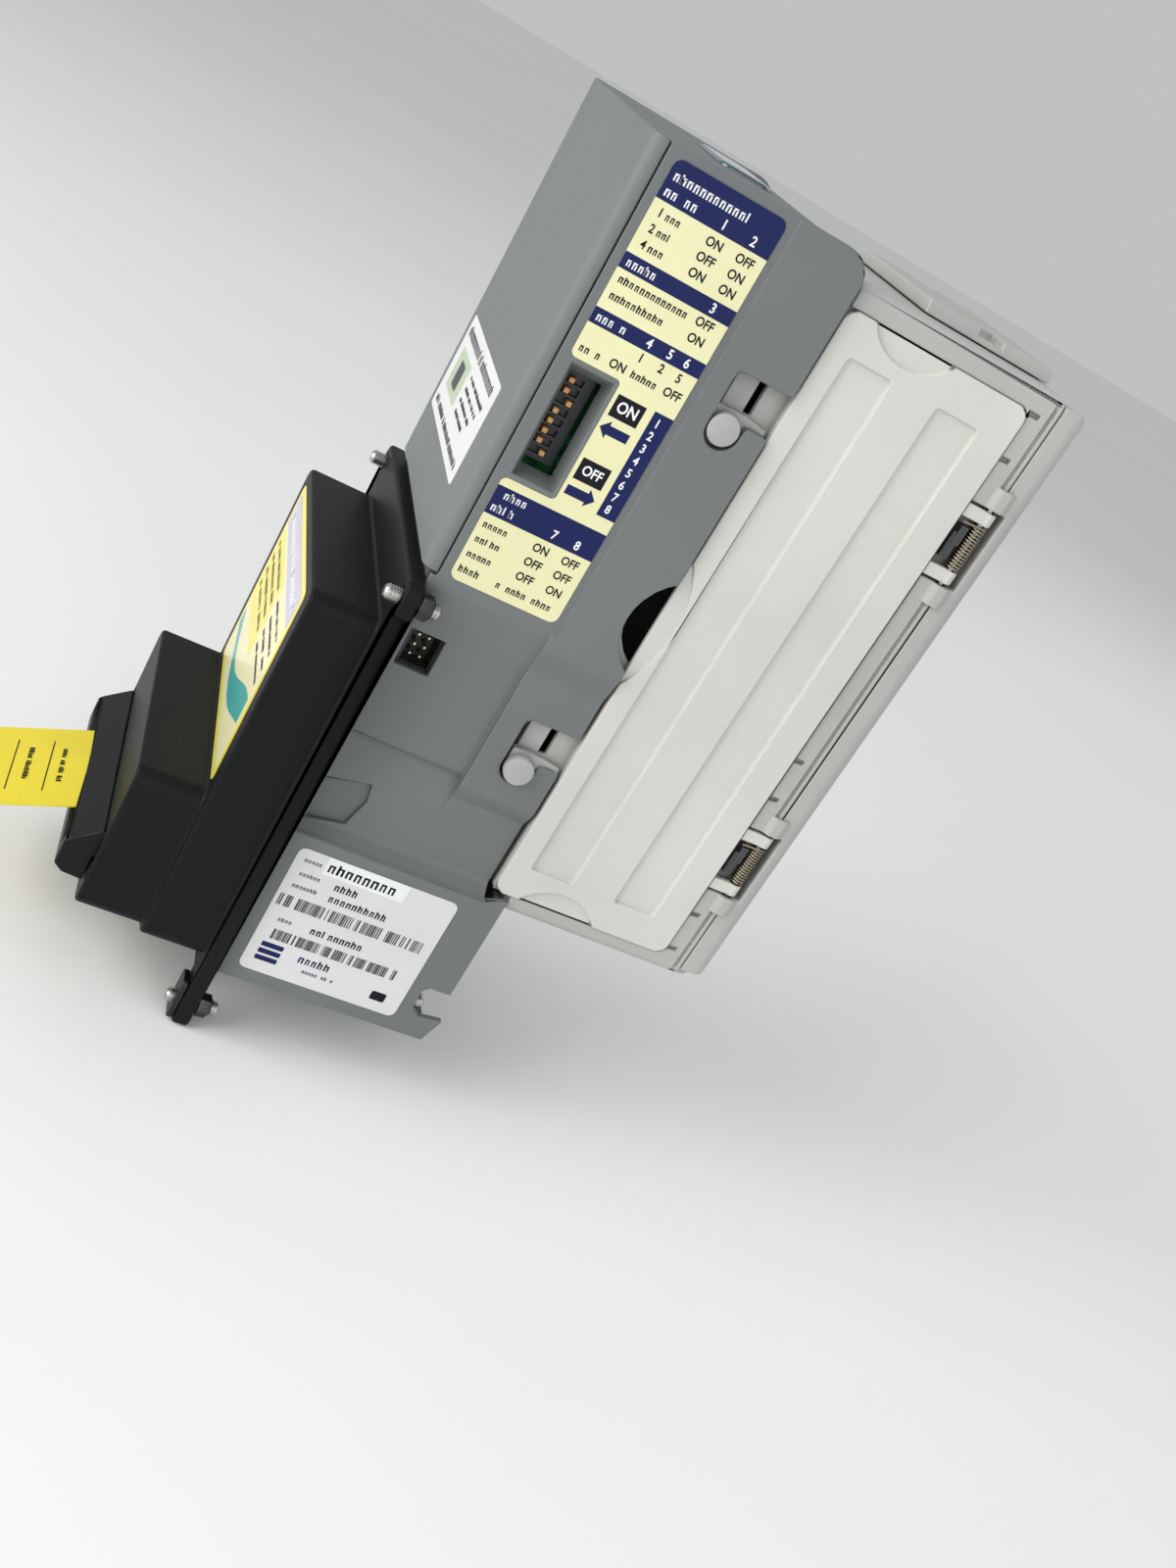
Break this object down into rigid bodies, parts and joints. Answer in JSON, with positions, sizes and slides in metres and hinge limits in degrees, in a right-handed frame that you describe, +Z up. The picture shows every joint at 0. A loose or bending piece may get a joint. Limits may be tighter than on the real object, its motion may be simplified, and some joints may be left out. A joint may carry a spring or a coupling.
{
  "type": "bill validator",
  "caption": "Upright bill validator: grey housing with black entry bezel and tilted bill mouth, a removable cassette with a sprung side door, switches, rollers and a bill stacker inside.",
  "frame": {"origin": "centre of the housing's flat bottom face", "axes": "+Z up as installed, -Y out of the bill mouth towards the customer, +X out of the side that carries the switch window and the cassette door"},
  "size_m": [0.098, 0.1917, 0.2479],
  "materials": {
    "housing_grey": "fine satin moulded plastic",
    "bezel_black": "fine leather grain",
    "nose_black": "satin moulded plastic",
    "steel": "bright drawn",
    "zinc_plate": "zinc plated",
    "lens": "dark teal lens",
    "switch_label": null,
    "rating_label": "white film",
    "sticker_paper": "white film",
    "decal_print": "yellow, teal and lilac bands",
    "circuit_board": "solder mask",
    "connector_black": "glass filled",
    "switch_blue": "moulded",
    "lever_cream": "moulded",
    "coil_wrap": "tape wrapped",
    "gear_plastic": "acetal",
    "rubber": "ground",
    "cassette_grey": "satin moulded plastic",
    "stud_light": "satin",
    "door_white": "satin moulded plastic",
    "plate_dark": "moulded",
    "strip_yellow": "clear yellow film"
  },
  "bodies": {
    "validator": {"housing": "housing_grey", "front_cover": "housing_grey", "base_cross_pin": "steel", "bezel_mask": "bezel_black", "entry_nose": "nose_black", "mount_stud_upper_near": "steel", "mount_stud_lower_near": "steel", "lug_plate_near": "zinc_plate", "mount_stud_upper_far": "steel", "mount_stud_lower_far": "steel", "lug_plate_far": "zinc_plate", "top_lens": "lens", "switch_label": "switch_label", "rating_label": "rating_label", "note_sticker": "sticker_paper", "bezel_decal": "decal_print", "main_board": "circuit_board", "optic_board": "circuit_board", "harness_socket": "connector_black", "switch_body": "switch_blue", "transformer_core": "zinc_plate", "transformer_coil": "coil_wrap", "transport_motor": "zinc_plate", "feed_belt_near": "rubber", "feed_belt_far": "rubber", "stacker_motor": "zinc_plate"},
    "lever_1": {"switch_lever_1": "lever_cream"},
    "lever_2": {"switch_lever_2": "lever_cream"},
    "lever_3": {"switch_lever_3": "lever_cream"},
    "lever_4": {"switch_lever_4": "lever_cream"},
    "lever_5": {"switch_lever_5": "lever_cream"},
    "lever_6": {"switch_lever_6": "lever_cream"},
    "lever_7": {"switch_lever_7": "lever_cream"},
    "lever_8": {"switch_lever_8": "lever_cream"},
    "motor_pinion": {"motor_pinion": "gear_plastic"},
    "entry_roller": {"entry_roller": "rubber"},
    "pinch_roller": {"pinch_roller": "rubber"},
    "lower_belt_shaft": {"belt_shaft_lower": "gear_plastic"},
    "upper_belt_shaft": {"belt_shaft_upper": "gear_plastic"},
    "stacker_pinions": {"stacker_pinions": "gear_plastic"},
    "pusher": {"pusher_plate": "gear_plastic"},
    "strip": {"packing_strip": "strip_yellow"},
    "cassette": {"cassette_body": "cassette_grey", "cassette_back": "cassette_grey", "cassette_stud_upper_near": "stud_light", "cassette_stud_lower_near": "stud_light", "cassette_stud_upper_far": "stud_light", "cassette_stud_lower_far": "stud_light", "cassette_grip": "cassette_grey", "hinge_pin_lower": "steel", "hinge_pin_upper": "steel", "hinge_spring_lower": "steel", "hinge_spring_upper": "steel", "pressure_spring": "steel"},
    "door": {"cassette_door": "door_white"},
    "pressure_plate": {"pressure_plate": "plate_dark"}
  },
  "joints": [
    {"name": "cassette_lift", "type": "slide", "parent": "validator", "child": "cassette", "axis": [0, 0, 1], "range_m": [0, 0.009]},
    {"name": "door_hinge", "type": "hinge", "parent": "cassette", "child": "door", "pos_m": [0.0389, 0.0832, 0.134], "axis": [0, 0, 1], "range_deg": [0, 100], "stiffness_Nm_per_rad": 0.02, "springref_deg": -34.38},
    {"name": "pressure_plate_slide", "type": "slide", "parent": "cassette", "child": "pressure_plate", "axis": [0, 1, 0], "range_m": [0, 0.058], "stiffness_N_per_m": 30, "springref_m": -0.06, "deforming": ["pressure_spring"]},
    {"name": "pusher_slide", "type": "slide", "parent": "validator", "child": "pusher", "axis": [0, 1, 0], "range_m": [0, 0.0084]},
    {"name": "stacker_spin", "type": "hinge", "parent": "validator", "child": "stacker_pinions", "pos_m": [0, -0.015, 0.14], "axis": [1, 0, 0], "range_deg": [-85, 5]},
    {"name": "lower_belt_spin", "type": "hinge", "parent": "validator", "child": "lower_belt_shaft", "pos_m": [0, -0.0015, 0.06162], "axis": [1, 0, 0], "continuous": true},
    {"name": "upper_belt_spin", "type": "hinge", "parent": "validator", "child": "upper_belt_shaft", "pos_m": [0, -0.0015, 0.206], "axis": [1, 0, 0], "continuous": true},
    {"name": "entry_roller_spin", "type": "hinge", "parent": "validator", "child": "entry_roller", "pos_m": [0, -0.01044, 0.03509], "axis": [1, 0, 0], "continuous": true},
    {"name": "pinch_roller_spin", "type": "hinge", "parent": "validator", "child": "pinch_roller", "pos_m": [0, -0.01644, 0.04992], "axis": [1, 0, 0], "continuous": true},
    {"name": "motor_spin", "type": "hinge", "parent": "validator", "child": "motor_pinion", "pos_m": [0, -0.00444, 0.01601], "axis": [1, 0, 0], "continuous": true},
    {"name": "strip_slide", "type": "slide", "parent": "validator", "child": "strip", "axis": [0, -0.9272, -0.3746], "range_m": [0, 0.028]},
    {"name": "switch_1", "type": "slide", "parent": "validator", "child": "lever_1", "axis": [0, 1, 0], "range_m": [0, 0.002]},
    {"name": "switch_2", "type": "slide", "parent": "validator", "child": "lever_2", "axis": [0, 1, 0], "range_m": [0, 0.002]},
    {"name": "switch_3", "type": "slide", "parent": "validator", "child": "lever_3", "axis": [0, 1, 0], "range_m": [-0.002, 0]},
    {"name": "switch_4", "type": "slide", "parent": "validator", "child": "lever_4", "axis": [0, 1, 0], "range_m": [0, 0.002]},
    {"name": "switch_5", "type": "slide", "parent": "validator", "child": "lever_5", "axis": [0, 1, 0], "range_m": [0, 0.002]},
    {"name": "switch_6", "type": "slide", "parent": "validator", "child": "lever_6", "axis": [0, 1, 0], "range_m": [0, 0.002]},
    {"name": "switch_7", "type": "slide", "parent": "validator", "child": "lever_7", "axis": [0, 1, 0], "range_m": [0, 0.002]},
    {"name": "switch_8", "type": "slide", "parent": "validator", "child": "lever_8", "axis": [0, 1, 0], "range_m": [-0.002, 0]}
  ],
  "couplings": [
    {"joint": "stacker_spin", "follows": "pusher_slide", "rad_per_m": -166.67},
    {"joint": "upper_belt_spin", "follows": "lower_belt_spin", "ratio": 1},
    {"joint": "entry_roller_spin", "follows": "lower_belt_spin", "ratio": -1},
    {"joint": "pinch_roller_spin", "follows": "lower_belt_spin", "ratio": 1.5},
    {"joint": "motor_spin", "follows": "lower_belt_spin", "ratio": 2.3333}
  ]
}
